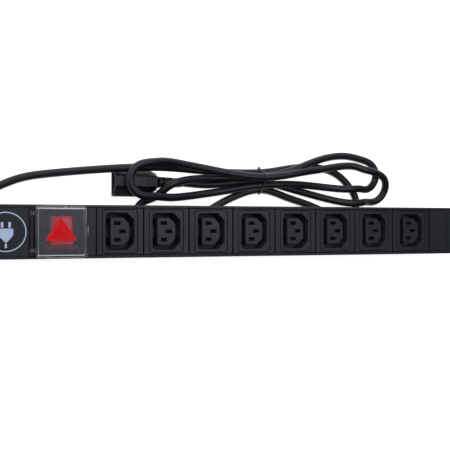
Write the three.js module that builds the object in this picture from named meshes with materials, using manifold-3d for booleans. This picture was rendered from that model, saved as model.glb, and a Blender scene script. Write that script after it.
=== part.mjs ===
// Rack power strip, 19 inch, one rack unit high: a switched strip of eight IEC 60320 C13 outlets
// with a flip-up cover over its rocker switch and a tied mains cord that ends in a C14 plug.
//
// Frame, in millimetres: X along the strip, Y across its face, Z out of its face.
// The strip lies on its back on Z = 0, and the origin is the middle of that footprint.
import * as THREE from "three";
import { NURBSCurve } from "three/addons/curves/NURBSCurve.js";
import { mergeVertices } from "three/addons/utils/BufferGeometryUtils.js";
import Module from "manifold-3d";

const wasm = await Module();
wasm.setup();

// ---------------------------------------------------------------- driving dimensions
const GAP = 0.3; // between pieces that touch

// The channel: one rack unit high, and its face.
const BODY_LENGTH = 440;
const UNIT = 44.4;
const STAND_OFF = 8.5; // the channel's back above the rack ears' feet
const FACE_Z = STAND_OFF + UNIT;
const WALL = 1.6;
const LIP = 2.3; // width of each lip beside the face modules
const CAP = 4.5; // end cap thickness

// Face modules, from the left end to the right.
const PLATE_Y = UNIT - 2 * LIP - 2 * GAP;
const PLATE_T = 2.2;
const PLATE_TOP = FACE_Z - 0.2;
const LABEL_X = [-215.5, -177.5];
const SWITCH_X = [-177.5, -124.5];
const OUTLET_PITCH = 40;
const FIRST_OUTLET_X = -104.5;
const OUTLETS = 8;
const BLANK_X = [195.5, 215.5];
const MODULE_GAP = 0.35; // left free at each end of a face module

// IEC C13 outlet.
const INSERT = [30.2, 37];
const RECESS = [24, 31];
const RECESS_DEPTH = 16;
const TOWER = [16, 23.3];
const SLOT = [5.4, 2.8];
const POLE_Y = 7; // live and neutral stand this far from the middle
const POLE_X = -2.2;
const EARTH_X = 2.2;
const BAR_START = FIRST_OUTLET_X - 17;

// Rocker switch and its cover.
const SWITCH_AT = -152.5;
const PIVOT_Z = 48;
const ROCKER_TILT = 12; // degrees each side of level
const BLADE_Z = 41;
const BLADE_TILT = 6;
const POLE_SPREAD = 5; // each switch pole from the middle, along X
const COVER_X = [-173.9, -132.7];
const COVER_Y = 42;
const COVER_Z = [53.3, 62.5];
const COVER_WALL = 1.6;
const HINGE = [-176.2, 55.5]; // the cover's pin, in X and Z
const PIN_SLEEVE_R = 1.6; // the pin is thicker between the cover's knuckles
const PIN_R = 1;

// Rack ears.
const EAR_T = 2;
const EAR_END = 241.3;
const EAR_WEB_TOP = 46;
const RACK_SLOT = [10, 6.8];
const RACK_SLOT_AT = [232.55, 15.875];
const EAR_SCREW = [15, 17]; // Y and Z of each ear's two screws

// Cord, gland and plug.
const CORD_R = 3.6;
const CORD_SIDES = 8;
const CORD_STEPS = 80;
const GLAND_Z = 34;
const RELIEF_END = -250.2;
const PLUG_FRONT = -102.5;
const PLUG_BACK = -63;
const PLUG_Y = 44.3;
const PLUG_WIDTH = 26.4;
const PLUG_HEIGHT = 20.6;
const GRIP_START = 15.5; // where the plug's top begins to slope down, from its front

// The cord's route as the control points of one smooth curve, from the gland to the plug.
const CORD_ROUTE = [
  // out of the gland, round and down to the surface
  [-250.5, 0, 34], [-263, 0, 33.5], [-280, 3.5, 27], [-292, 18, 16], [-291, 37, 7.5], [-278, 50.5, 3.7],
  [-260, 50.5, 3.7], [-241, 36.5, 3.7], [-221, 29, 3.7],
  // along the strip, up over the edge of the plug, and on to the tie
  [-204, 37, 3.7], [-182.5, 47.5, 3.7], [-155.5, 51, 3.7], [-129, 53.5, 10.5], [-106, 55, 21],
  [-76, 57.2, 21.4], [-47, 58, 10], [-8, 55, 3.7], [42, 54.5, 5.2],
  // first right-hand loop, its end under the strip
  [64.5, 59.5, 3.7], [85, 62.5, 3.7], [105, 62, 3.7], [123, 56, 3.7], [135, 44.5, 3.7], [144, 32, 3.7],
  [142.5, 19, 3.7], [131, 10, 3.7], [114, 15.5, 3.7], [90.5, 26, 3.7], [67.5, 31.5, 3.7],
  [42, 42.2, 5.2],
  // first left-hand loop, under the strip and over the plug's strain relief
  [17.5, 34.5, 3.7], [-7.5, 22.5, 3.7], [-29, 6, 3.7], [-49.5, -6.5, 3.7], [-70.5, -5, 3.7],
  [-82.5, 7, 3.7], [-80.5, 20.5, 3.7], [-74.5, 27.5, 4.6], [-63, 30, 10], [-55, 41.5, 20.2],
  [-39, 46.5, 16.5], [-17.5, 49, 9.4], [12, 49.5, 9.8], [39.5, 51, 11.4],
  // second right-hand loop
  [61, 54.5, 11], [77, 60.5, 13.5], [97, 68.5, 10], [116.5, 73.5, 4], [133.5, 74.5, 3.7],
  [146.5, 71.5, 3.7], [159, 68.5, 3.7], [165, 61, 3.7], [165.5, 52, 3.7], [161, 44, 3.8],
  [152.5, 40, 6.5], [142.5, 42, 12], [128, 40, 12], [107, 42.5, 6], [81, 44.5, 9], [61.5, 44.5, 12],
  [39.5, 43.5, 12],
  // second left-hand loop, over the plug
  [19.5, 40.5, 10], [-2.5, 36.5, 5.5], [-29, 32.5, 7.4], [-53, 29.5, 17.6], [-67.5, 31.5, 23.6],
  [-79.5, 30.5, 26.6], [-88, 35.5, 27.3], [-91.5, 44, 27.6], [-90, 52.5, 27.7], [-83, 59.5, 27.8],
  [-71.5, 61, 26.8], [-57.5, 63, 22], [-41, 61, 16], [-17, 57.5, 13], [10.5, 52, 18.6],
  [36.5, 49.5, 18.8],
  // third right-hand loop, over the other two
  [58.5, 52, 19.2], [79.5, 56.5, 19.2], [101.5, 59.5, 13], [122.5, 63.5, 8.5], [139.5, 64.5, 8.5],
  [146.5, 60, 12.6], [153, 59.5, 13.8], [171, 54.5, 12], [175.5, 43, 7], [171, 32.5, 4.2],
  [162, 27.8, 4], [152, 29, 6.6], [145.5, 27.5, 11.9], [133, 26.5, 13], [118.5, 29, 7], [96, 34.5, 3.7],
  [69.5, 41, 3.7], [42, 48, 5.2],
  // back to the plug
  [15.5, 46, 3.7], [-8, 43, 3.7], [-22, 43, 4.5], [-38.5, 44.5, 6.5],
];

// ---------------------------------------------------------------- finishes
const finish = (color, roughness, metalness = 0) => ({ color, roughness, metalness });
const FINISH = {
  powder: finish(0x2a2b30, 0.55, 0.2),
  face: finish(0x33353b, 0.6),
  outlet: finish(0x1e1f24, 0.5),
  badge: finish(0x23262c, 0.3),
  clear: finish(0x9a9ca4, 0.08),
  red: finish(0xb81420, 0.25),
  black: finish(0x18181b, 0.5),
  neon: finish(0xd9783a, 0.15),
  steel: finish(0xb9bcc0, 0.3, 1),
  brass: finish(0xb08d4a, 0.3, 1),
  tinned: finish(0x77787a, 0.45, 1),
  cord: finish(0x232427, 0.55),
  live: finish(0x6b3d1f, 0.5),
  neutral: finish(0x2d5fa8, 0.5),
  earth: finish(0x5f9a3a, 0.5),
};

const strip = new THREE.Group();

// ---------------------------------------------------------------- solids
// A closed three.js geometry as a manifold solid, for cutting and joining.
function solid(geometry) {
  const bare = geometry.index ? geometry.toNonIndexed() : geometry.clone();
  bare.deleteAttribute("normal");
  bare.deleteAttribute("uv");
  const merged = mergeVertices(bare, 1e-4);
  return new wasm.Manifold(
    new wasm.Mesh({
      numProp: 3,
      vertProperties: new Float32Array(merged.attributes.position.array),
      triVerts: new Uint32Array(merged.index.array),
    }),
  );
}

function geometryOf(made) {
  const mesh = made.getMesh();
  const geometry = new THREE.BufferGeometry();
  geometry.setAttribute("position", new THREE.BufferAttribute(mesh.vertProperties, 3));
  geometry.setIndex(new THREE.BufferAttribute(mesh.triVerts, 1));
  const flat = geometry.toNonIndexed();
  flat.computeVertexNormals();
  return flat;
}

function add(name, made, look) {
  const geometry = made.isBufferGeometry ? made : geometryOf(made);
  const mesh = new THREE.Mesh(geometry, new THREE.MeshStandardMaterial(FINISH[look]));
  mesh.name = name;
  strip.add(mesh);
}

// A box from its lowest corner to its highest.
function box(x0, y0, z0, x1, y1, z1) {
  const geometry = new THREE.BoxGeometry(x1 - x0, y1 - y0, z1 - z0);
  return solid(geometry.translate((x0 + x1) / 2, (y0 + y1) / 2, (z0 + z1) / 2));
}

// A bar with a plain XY outline, from z0 up to z1.
function prism(outline, z0, z1) {
  const options = { depth: z1 - z0, bevelEnabled: false, curveSegments: 3 };
  return solid(new THREE.ExtrudeGeometry(outline, options).translate(0, 0, z0));
}

// A bar with a plain YZ outline, from x0 to x1.
function bar(points, x0, x1) {
  const outline = new THREE.Shape(points.map(([y, z]) => new THREE.Vector2(y, z)));
  const options = { depth: x1 - x0, bevelEnabled: false };
  const geometry = new THREE.ExtrudeGeometry(outline, options);
  const turn = new THREE.Matrix4().makeBasis(
    new THREE.Vector3(0, 1, 0),
    new THREE.Vector3(0, 0, 1),
    new THREE.Vector3(1, 0, 0),
  );
  return solid(geometry.applyMatrix4(turn).translate(x0, 0, 0));
}

// A rectangle about (x, y). Its left corners have radius `left`; its right corners are cut by
// `right` when `chamfered`, and rounded by it otherwise.
function rounded(x, y, [width, height], left, right = left, chamfered = false) {
  const [x0, x1] = [x - width / 2, x + width / 2];
  const [y0, y1] = [y - height / 2, y + height / 2];
  const outline = new THREE.Shape();
  outline.moveTo(x0 + left, y0);
  outline.lineTo(x1 - right, y0);
  if (chamfered) outline.lineTo(x1, y0 + right);
  else outline.absarc(x1 - right, y0 + right, right, -Math.PI / 2, 0, false);
  outline.lineTo(x1, y1 - right);
  if (chamfered) outline.lineTo(x1 - right, y1);
  else outline.absarc(x1 - right, y1 - right, right, 0, Math.PI / 2, false);
  outline.lineTo(x0 + left, y1);
  outline.absarc(x0 + left, y1 - left, left, Math.PI / 2, Math.PI, false);
  outline.lineTo(x0, y0 + left);
  outline.absarc(x0 + left, y0 + left, left, Math.PI, 1.5 * Math.PI, false);
  return outline;
}

// A round bar along "x", "y" or "z", between two places on that axis.
function rod(axis, r, from, to, a, b, sides = 16) {
  const geometry = new THREE.CylinderGeometry(r, r, to - from, sides);
  const middle = (from + to) / 2;
  if (axis === "x") return solid(geometry.rotateZ(Math.PI / 2).translate(middle, a, b));
  if (axis === "y") return solid(geometry.translate(a, middle, b));
  return solid(geometry.rotateX(Math.PI / 2).translate(a, b, middle));
}

// A turned piece along X about (y, z), from [x, radius] steps. The profile closes on the axis.
function turned(steps, y, z, sides = 16) {
  const profile = steps.map(([x, r]) => new THREE.Vector2(r, x));
  profile.unshift(new THREE.Vector2(0, steps[0][0]));
  profile.push(new THREE.Vector2(0, steps.at(-1)[0]));
  return solid(new THREE.LatheGeometry(profile, sides).rotateZ(-Math.PI / 2).translate(0, y, z));
}

// A curve walked by its parameter, so that its steps follow the control points.
class Route extends NURBSCurve {
  constructor(points) {
    const degree = 3;
    const spans = points.length - degree;
    const knots = [0, 0, 0];
    for (let i = 0; i <= spans; i++) knots.push(i);
    knots.push(spans, spans, spans);
    super(degree, knots, points.map(([x, y, z]) => new THREE.Vector4(x, y, z, 1)));
  }
  getPointAt(u, target) {
    return this.getPoint(u, target);
  }
  getTangentAt(u, target) {
    return this.getTangent(u, target);
  }
  getSpacedPoints(steps) {
    return this.getPoints(steps);
  }
}

function tube(points, r, sides, steps) {
  const section = new THREE.Shape();
  for (let i = 0; i < sides; i++) {
    const turn = (2 * Math.PI * i) / sides;
    const [a, b] = [r * Math.cos(turn), r * Math.sin(turn)];
    if (i) section.lineTo(a, b);
    else section.moveTo(a, b);
  }
  return new THREE.ExtrudeGeometry(section, { steps, extrudePath: new Route(points) });
}

const degrees = THREE.MathUtils.degToRad;

// A solid turned by an angle about the X-wise line through (y, z).
function tilted(made, angle, y, z) {
  return made.translate([0, -y, -z]).rotate([angle, 0, 0]).translate([0, y, z]);
}

// ---------------------------------------------------------------- channel and ends
function channel() {
  const [half, top] = [UNIT / 2, FACE_Z];
  const inner = half - WALL;
  const mouth = half - LIP;
  const ledge = PLATE_TOP - PLATE_T - GAP; // the face modules rest just above it
  const edge = 1; // bevel of the outer corners
  const right = [
    [half - edge, STAND_OFF],
    [half, STAND_OFF + edge],
    [half, top - edge],
    [half - edge, top],
    [mouth, top],
    [mouth, ledge],
    [mouth - 1.2, ledge],
    [mouth - 1.2, ledge - 1.4],
    [inner, ledge - 3.2],
    [inner, STAND_OFF + WALL],
  ];
  const left = right.map(([y, z]) => [-y, z]).reverse();
  const length = BODY_LENGTH / 2 - CAP - GAP;
  const shell = bar([...right, ...left], -length, length);
  const bond = rod("z", 1.7, STAND_OFF - 1, STAND_OFF + WALL + 1, -195, -12);
  add("housing_channel", shell.subtract(bond), "powder");
}

function endCap(side, name) {
  const half = UNIT / 2;
  const plate = rounded(0, 0, [UNIT, UNIT], 1.5);
  const end = BODY_LENGTH / 2;
  const inner = half - WALL - GAP;
  const spigotTop = PLATE_TOP - PLATE_T - 4;
  const sheet = new THREE.ExtrudeGeometry(plate, { depth: CAP, bevelEnabled: false, curveSegments: 3 });
  sheet.rotateY(Math.PI / 2).translate(end - CAP, 0, STAND_OFF + half);
  const floor = STAND_OFF + WALL + GAP;
  let made = solid(sheet);
  const rim = box(end - CAP - 4, -inner, floor, end - CAP + 0.5, inner, spigotTop);
  const hollow = box(end - CAP - 5, -inner + 1.6, floor + 1.6, end - CAP, inner - 1.6, spigotTop - 1.6);
  made = made.add(rim.subtract(hollow));
  if (side < 0) made = made.subtract(rod("x", 8.2, end - 2 * CAP, end + 1, 0, GLAND_Z, 24));
  for (const y of [-EAR_SCREW[0], EAR_SCREW[0]]) {
    made = made.subtract(rod("x", 1.9, end - 2 * CAP, end + 1, y, EAR_SCREW[1], 12));
  }
  add(name, side < 0 ? made.rotate([0, 0, 180]) : made, "face");
}

function ear(side, name) {
  const [end, half] = [BODY_LENGTH / 2 + GAP, UNIT / 2];
  const profile = new THREE.Shape();
  const bend = 2.4; // outer radius of the folded corner
  profile.moveTo(end, EAR_WEB_TOP);
  profile.lineTo(end, 1);
  profile.lineTo(end + 1, 0);
  profile.lineTo(EAR_END, 0);
  profile.lineTo(EAR_END, EAR_T);
  profile.lineTo(end + EAR_T + bend, EAR_T);
  profile.absarc(end + EAR_T + bend, EAR_T + bend, bend, 1.5 * Math.PI, Math.PI, true);
  profile.lineTo(end + EAR_T, EAR_WEB_TOP);
  const options = { depth: UNIT, bevelEnabled: false, curveSegments: 3 };
  const folded = new THREE.ExtrudeGeometry(profile, options).rotateX(Math.PI / 2);
  let made = solid(folded.translate(0, half, 0));
  for (const y of [-RACK_SLOT_AT[1], RACK_SLOT_AT[1]]) {
    const slot = rounded(RACK_SLOT_AT[0], y, RACK_SLOT, RACK_SLOT[1] / 2 - 0.01);
    made = made.subtract(prism(slot, -1, EAR_T + 1));
  }
  for (const y of [-EAR_SCREW[0], EAR_SCREW[0]]) {
    made = made.subtract(rod("x", 2.2, end - 1, end + EAR_T + 1, y, EAR_SCREW[1], 12));
  }
  if (side < 0) made = made.subtract(rod("x", 8.2, end - 1, end + EAR_T + 1, 0, GLAND_Z, 24));
  add(name, side < 0 ? made.rotate([0, 0, 180]) : made, "powder");
}

function earScrew(side, y, name) {
  const seat = BODY_LENGTH / 2 + 2 * GAP + EAR_T;
  const steps = [
    [seat - 14, 1.6],
    [seat, 1.6],
    [seat, 3.6],
    [seat + 1.2, 3.4],
    [seat + 2.2, 2],
  ];
  const cross = (dy, dz) => box(seat + 1, y - dy, EAR_SCREW[1] - dz, seat + 3, y + dy, EAR_SCREW[1] + dz);
  const made = turned(steps, y, EAR_SCREW[1], 12).subtract(cross(2, 0.4)).subtract(cross(0.4, 2));
  add(name, side < 0 ? made.rotate([0, 0, 180]) : made, "steel");
}

// ---------------------------------------------------------------- face modules
function plate([x0, x1]) {
  const [length, middle] = [x1 - x0 - 2 * MODULE_GAP, (x0 + x1) / 2];
  return prism(rounded(middle, 0, [length, PLATE_Y], 0.4), PLATE_TOP - PLATE_T, PLATE_TOP);
}

function labelPanel() {
  const middle = (LABEL_X[0] + LABEL_X[1]) / 2;
  const [badgeR, badgeT] = [16.4, 0.8];
  const well = rod("z", badgeR + GAP, PLATE_TOP - badgeT, PLATE_TOP + 1, middle, 0, 40);
  add("label_panel", plate(LABEL_X).subtract(well), "face");
  const badge = rod("z", badgeR, PLATE_TOP - badgeT + GAP, PLATE_TOP + 0.1, middle, 0, 40);
  add("label_badge", badge, "badge");
}

function blankPanel() {
  const legs = box(BLANK_X[0] + 4, -15, PLATE_TOP - 9, BLANK_X[1] - 4, -13.4, PLATE_TOP - 1);
  add("blank_panel", plate(BLANK_X).add(legs).add(legs.mirror([0, 1, 0])), "face");
}

function outletModule(index) {
  const x = FIRST_OUTLET_X + OUTLET_PITCH * index;
  const window = prism(rounded(x, 0, INSERT, 2), PLATE_TOP - 5, PLATE_TOP + 1);
  const module = [x - OUTLET_PITCH / 2, x + OUTLET_PITCH / 2];
  add(`outlet_frame_${index + 1}`, plate(module).subtract(window), "face");

  const insert = INSERT.map((size) => size - 2 * GAP);
  const floor = PLATE_TOP - RECESS_DEPTH;
  const body = prism(rounded(x, 0, insert, 1.7), floor - 3, PLATE_TOP);
  const recess = prism(rounded(x, 0, RECESS, 3.4, 5.8, true), floor, PLATE_TOP + 1);
  const tower = prism(rounded(x, 0, TOWER, 2, 5, true), floor - 0.1, PLATE_TOP - 0.9);
  let made = body.subtract(recess).add(tower);
  for (const [sx, sy] of contactPlaces(x)) {
    const [dx, dy] = [SLOT[0] / 2, SLOT[1] / 2];
    made = made.subtract(box(sx - dx, sy - dy, floor - 4, sx + dx, sy + dy, PLATE_TOP + 1));
  }
  add(`outlet_socket_${index + 1}`, made, "outlet");
}

function contactPlaces(x) {
  return [
    [x + POLE_X, POLE_Y],
    [x + POLE_X, -POLE_Y],
    [x + EARTH_X, 0],
  ];
}

// A tinned copper strip under the outlets, with a contact standing in one slot of each outlet.
function busBar(name, pole) {
  const [width, thickness] = [5, 1.2];
  const underside = PLATE_TOP - RECESS_DEPTH - 3 - GAP;
  const first = contactPlaces(FIRST_OUTLET_X)[pole];
  const last = first[0] + OUTLET_PITCH * (OUTLETS - 1);
  const start = BAR_START;
  const y = first[1];
  let made = box(start, y - width / 2, underside - thickness, last + 6, y + width / 2, underside);
  for (let i = 0; i < OUTLETS; i++) {
    const x = first[0] + OUTLET_PITCH * i;
    made = made.add(box(x - 2, y - 0.9, underside - 0.2, x + 2, y - 0.4, PLATE_TOP - 5));
    made = made.add(box(x - 2, y + 0.4, underside - 0.2, x + 2, y + 0.9, PLATE_TOP - 5));
  }
  add(name, made, "tinned");
}

// ---------------------------------------------------------------- switch
function switchBezel() {
  const window = box(SWITCH_AT - 11, -15, PLATE_TOP - 5, SWITCH_AT + 11, 15, PLATE_TOP + 1);
  let made = plate(SWITCH_X).subtract(window);
  const lug = rod("y", PIN_R + 0.8, 17.2, 19.4, HINGE[0], HINGE[1], 12);
  const foot = box(HINGE[0] - 0.9, 17.2, PLATE_TOP - 1, HINGE[0] + 1.6, 19.4, HINGE[1]);
  const bore = rod("y", PIN_R + 0.1, 10, 20, HINGE[0], HINGE[1], 12);
  const bracket = lug.add(foot).subtract(bore);
  made = made.add(bracket).add(bracket.mirror([0, 1, 0]));
  add("switch_bezel", made, "face");
}

function hingePin() {
  const pin = rod("y", PIN_R, -19.4, 19.4, HINGE[0], HINGE[1], 12);
  const sleeve = rod("y", PIN_SLEEVE_R, -12.9, 12.9, HINGE[0], HINGE[1], 16);
  add("cover_hinge_pin", pin.add(sleeve), "face");
}

function switchCover() {
  const [x0, x1] = COVER_X;
  const [z0, z1] = COVER_Z;
  const size = [x1 - x0, COVER_Y];
  const middle = (x0 + x1) / 2;
  const inside = size.map((s) => s - 2 * COVER_WALL);
  const shell = prism(rounded(middle, 0, size, 2.2), z0, z1);
  const hollow = prism(rounded(middle, 0, inside, 1), z0 - 1, z1 - COVER_WALL);
  const knuckle = rod("y", PIN_R + 0.9, 13.4, 16.9, HINGE[0], HINGE[1], 12);
  const web = box(HINGE[0], 13.4, HINGE[1] - 1.6, x0 + 0.8, 16.9, HINGE[1] + 2);
  const bore = rod("y", PIN_R + GAP, 12, 18, HINGE[0], HINGE[1], 12);
  const hinge = knuckle.add(web).subtract(bore);
  const pull = box(x1 - 0.8, -6, z0, x1 + 2.2, 6, z0 + 1.6);
  const made = shell.subtract(hollow).add(hinge).add(hinge.mirror([0, 1, 0])).add(pull);
  add("switch_cover", made, "clear");
}

function switchBody() {
  const [flangeTop, floor, base] = [54.4, 34, 30];
  const flange = prism(rounded(SWITCH_AT, 0, [24, 32], 1.2), FACE_Z + 0.1, flangeTop);
  const body = box(SWITCH_AT - 10.6, -14.6, base, SWITCH_AT + 10.6, 14.6, FACE_Z + 0.2);
  const cavity = box(SWITCH_AT - 9.2, -13.2, floor, SWITCH_AT + 9.2, 13.2, flangeTop + 1);
  let made = flange.add(body).subtract(cavity);
  made = made.subtract(rod("x", 1.6, SWITCH_AT - 9.9, SWITCH_AT + 9.9, 0, PIVOT_Z, 12));
  for (const dx of [-POLE_SPREAD, POLE_SPREAD]) {
    for (const y of [0, 8.5]) {
      const x = SWITCH_AT + dx;
      made = made.subtract(box(x - 0.7, y - 2.3, base - 1, x + 0.7, y + 2.3, floor + 1));
    }
  }
  add("switch_body", made, "black");
}

function rocker() {
  const z = PIVOT_Z;
  const profile = [
    [-10, z - 3], [0, z - 4.6], [10, z - 3], [12, z + 4.4], [11, z + 6.2],
    [5.5, z + 4.5], [0, z + 3.9], [-5.5, z + 4.5], [-11, z + 6.2], [-12, z + 4.4],
  ];
  const wedge = bar(profile, SWITCH_AT - 8.7, SWITCH_AT + 8.7);
  const axle = rod("x", 1.3, SWITCH_AT - 9.6, SWITCH_AT + 9.6, 0, z, 12);
  add("switch_rocker", tilted(wedge.add(axle), -ROCKER_TILT, 0, z), "red");
}

function contactBlade(dx, name) {
  const x = SWITCH_AT + dx;
  const strip = box(x - 1.5, -9, BLADE_Z - 0.4, x + 1.5, 9.6, BLADE_Z + 0.4);
  const rivet = rod("z", 1.2, BLADE_Z - 0.9, BLADE_Z, x, 8.5, 12);
  add(name, tilted(strip.add(rivet), BLADE_TILT, 0, BLADE_Z), "brass");
}

function switchTerminal(dx, y, top, name) {
  const x = SWITCH_AT + dx;
  const blade = box(x - 0.4, y - 2, 20, x + 0.4, y + 2, top - 0.6);
  add(name, blade.add(box(x - 1.4, y - 2, top - 1.2, x + 1.4, y + 2, top)), "brass");
}

function neonLamp() {
  const glass = [
    [SWITCH_AT - 3, 0.6],
    [SWITCH_AT - 2.4, 1.6],
    [SWITCH_AT + 3, 1.6],
    [SWITCH_AT + 3, 1.2],
  ];
  add("neon_lamp", turned(glass, -9, 36.5, 12), "neon");
}

// ---------------------------------------------------------------- wiring
function wire(name, points, look) {
  add(name, tube(points, 1.2, 8, 3 * (points.length - 1)), look);
}

function wiring() {
  const inlet = -205.4;
  const [xIn, z] = [SWITCH_AT - POLE_SPREAD, 18.5];
  const xOut = SWITCH_AT + POLE_SPREAD;
  const barStart = BAR_START - GAP;
  const barZ = PLATE_TOP - RECESS_DEPTH - 3 - GAP - 0.6;
  wire("wire_live_in", [
    [inlet, 2.2, 35], [-197, 3, 35], [-188, 5, 26], [-174, 4, 14], [xIn - 6, 1, 13], [xIn, 0, 15],
    [xIn, 0, z],
  ], "live");
  wire("wire_neutral_in", [
    [inlet, -2.2, 35], [-197, -4, 36], [-186, -10, 32], [-172, -12, 19], [-156, -8, 13.2],
    [xOut, -2, 13.2], [xOut, 0, z],
  ], "neutral");
  wire("wire_live_out", [
    [xIn, 8.5, z], [xIn, 9, 15], [xIn + 4, 15, 14.5], [-138, 15, 20], [-131, 9, 31], [-126, POLE_Y, barZ],
    [barStart, POLE_Y, barZ],
  ], "live");
  wire("wire_neutral_out", [
    [xOut, 8.5, z], [xOut, 8, 14.5], [xOut + 5, 3, 14], [-138, -4, 20], [-131, -7, 30],
    [-126, -POLE_Y, barZ], [barStart, -POLE_Y, barZ],
  ], "neutral");
  wire("wire_earth_in", [
    [inlet, 0, 31.6], [-198, -3, 28], [-189, -11, 20], [-175, -17.5, 14], [-160, -18, 13],
    [-146, -17.5, 13], [-136, -11, 12.6], [-130, -2, 13.5], [-127, 0, 22], [-125.5, 0, barZ],
    [barStart, 0, barZ],
  ], "earth");
  const head = STAND_OFF + WALL + GAP;
  const screw = rod("z", 1.4, STAND_OFF + 0.2, head + 0.2, -195, -12, 12);
  add("earth_bond_screw", screw.add(rod("z", 3, head, head + 2.2, -195, -12, 12)), "steel");
}

// ---------------------------------------------------------------- cord and plug
function gland() {
  const end = -BODY_LENGTH / 2;
  const outer = end - EAR_T - 2 * GAP;
  const nut = new THREE.CylinderGeometry(11.5, 11.5, 5, 6).rotateZ(Math.PI / 2);
  const dome = [
    [outer - 8.5, 6.4],
    [outer - 7, 8.6],
    [outer - 4, 9.6],
  ];
  const thread = rod("x", 7.8, outer - 1, end + 11, 0, GLAND_Z, 24);
  const hexagon = solid(nut.translate(outer - 2.5, 0, GLAND_Z));
  const bore = rod("x", CORD_R + 0.7, outer - 10, end + 12, 0, GLAND_Z, 16);
  const made = thread.add(hexagon).add(turned(dome, 0, GLAND_Z, 24)).subtract(bore);
  add("cord_gland", made, "black");
}

function reliefSleeve() {
  const outer = -BODY_LENGTH / 2 - EAR_T - 2 * GAP - 8.5 - GAP;
  const steps = [
    [RELIEF_END, 4.2],
    [outer - 2.6, 5.4],
    [outer - 2.4, 6.2],
    [outer, 6.2],
    [outer, CORD_R],
    [-206, CORD_R],
  ];
  add("cord_strain_relief", turned(steps, 0, GLAND_Z), "cord");
}

function cord() {
  add("power_cord", tube(CORD_ROUTE, CORD_R, CORD_SIDES, CORD_STEPS), "cord");
}

// A flat band drawn round the bundle of six runs.
function cordTie() {
  const x = 38.5;
  const outer = [
    [33.2, 0.05], [60.6, 0.05], [61.9, 2.5], [61.9, 8], [56, 20.5], [53, 24], [47, 24],
    [39.4, 18], [31.6, 8], [31.6, 2.5],
  ];
  const [middle, height, wall] = [47.5, 11.5, 0.7];
  const inner = outer.map(([y, z]) => [
    middle + (y - middle) * (1 - wall / 14),
    height + (z - height) * (1 - wall / 11.5),
  ]);
  const ring = bar(outer, x - 0.7, x + 0.7).subtract(bar(inner, x - 1, x + 1));
  add("cord_tie", ring, "black");
}

// The plug lies with its cut corners up; its shroud opens towards -X.
function plug() {
  const half = PLUG_WIDTH / 2;
  const [shoulder, flat, wall] = [10.5, 4.6, 1.2];
  // The section of the shroud, `inset` inside its outer face.
  const section = (inset) => {
    const [side, top] = [half - inset, PLUG_HEIGHT - 1.5 * inset];
    const right = [
      [side - 1.4, inset],
      [side, inset + 1.4],
      [side, shoulder],
      [flat - 0.4 * inset, top],
    ];
    const left = right.map(([y, z]) => [-y, z]).reverse();
    return [...right, ...left].map(([y, z]) => [PLUG_Y + y, z]);
  };
  const plan = new THREE.Shape();
  const [taper, narrowed] = [12, 5.8]; // the grip's rear corners, along X and Y
  plan.moveTo(PLUG_FRONT, PLUG_Y - half);
  plan.lineTo(PLUG_BACK - taper, PLUG_Y - half);
  plan.lineTo(PLUG_BACK, PLUG_Y - half + narrowed);
  plan.lineTo(PLUG_BACK, PLUG_Y + half - narrowed);
  plan.lineTo(PLUG_BACK - taper, PLUG_Y + half);
  plan.lineTo(PLUG_FRONT, PLUG_Y + half);
  const above = box(0, -20, 0, 40, 20, 12).rotate([0, 9, 0]);
  const grip = above.translate([PLUG_FRONT + GRIP_START, PLUG_Y, PLUG_HEIGHT]);
  const cavityEnd = PLUG_FRONT + 17;
  const outer = bar(section(0), PLUG_FRONT, PLUG_BACK).intersect(prism(plan, -1, 30));
  const body = outer.subtract(grip).subtract(bar(section(wall), PLUG_FRONT - 1, cavityEnd));
  add("plug_body", body, "cord");

  const pins = [
    ["live", PLUG_Y + POLE_Y, 7.6],
    ["neutral", PLUG_Y - POLE_Y, 7.6],
    ["earth", PLUG_Y, 12],
  ];
  let carrier = bar(section(wall + GAP), cavityEnd - 3, cavityEnd - GAP);
  for (const [, y, z] of pins) {
    carrier = carrier.subtract(box(cavityEnd - 5, y - 1.3, z - 2.3, cavityEnd, y + 1.3, z + 2.3));
  }
  add("plug_pin_carrier", carrier, "black");
  for (const [name, y, z] of pins) {
    const pin = box(PLUG_FRONT + 4.6, y - 1, z - 2, cavityEnd - GAP, y + 1, z + 2);
    add(`plug_pin_${name}`, pin, "steel");
  }
}

function plugRelief() {
  const [length, ribs] = [22.9, 4];
  const steps = [[0, 5.2]];
  for (let i = 0; i < ribs; i++) {
    const x = 3.6 + 4.8 * i;
    const r = 5.1 - 0.3 * i;
    steps.push([x, r], [x + 0.2, r - 1], [x + 1.6, r - 1.1], [x + 1.8, r - 0.2]);
  }
  steps.push([length, 4]);
  const made = turned(steps, 0, 0, 12).rotate([0, 7.5, 0]);
  add("plug_strain_relief", made.translate([PLUG_BACK + 1, PLUG_Y, 9.8]), "cord");
}

// ---------------------------------------------------------------- the whole strip
channel();
endCap(-1, "end_cap_left");
endCap(1, "end_cap_right");
ear(-1, "rack_ear_left");
ear(1, "rack_ear_right");
for (const [side, place] of [[-1, "left"], [1, "right"]]) {
  earScrew(side, -EAR_SCREW[0], `ear_screw_${place}_1`);
  earScrew(side, EAR_SCREW[0], `ear_screw_${place}_2`);
}
labelPanel();
switchBezel();
hingePin();
switchCover();
switchBody();
rocker();
for (const [dx, pole] of [[-POLE_SPREAD, "live"], [POLE_SPREAD, "neutral"]]) {
  contactBlade(dx, `contact_blade_${pole}`);
  switchTerminal(dx, 0, BLADE_Z - 0.8, `terminal_${pole}_in`);
  switchTerminal(dx, 8.5, BLADE_Z - 2.3, `terminal_${pole}_out`);
}
neonLamp();
for (let i = 0; i < OUTLETS; i++) outletModule(i);
busBar("bus_bar_live", 0);
busBar("bus_bar_neutral", 1);
busBar("bus_bar_earth", 2);
blankPanel();
wiring();
gland();
reliefSleeve();
cord();
cordTie();
plug();
plugRelief();

export default strip;
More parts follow.
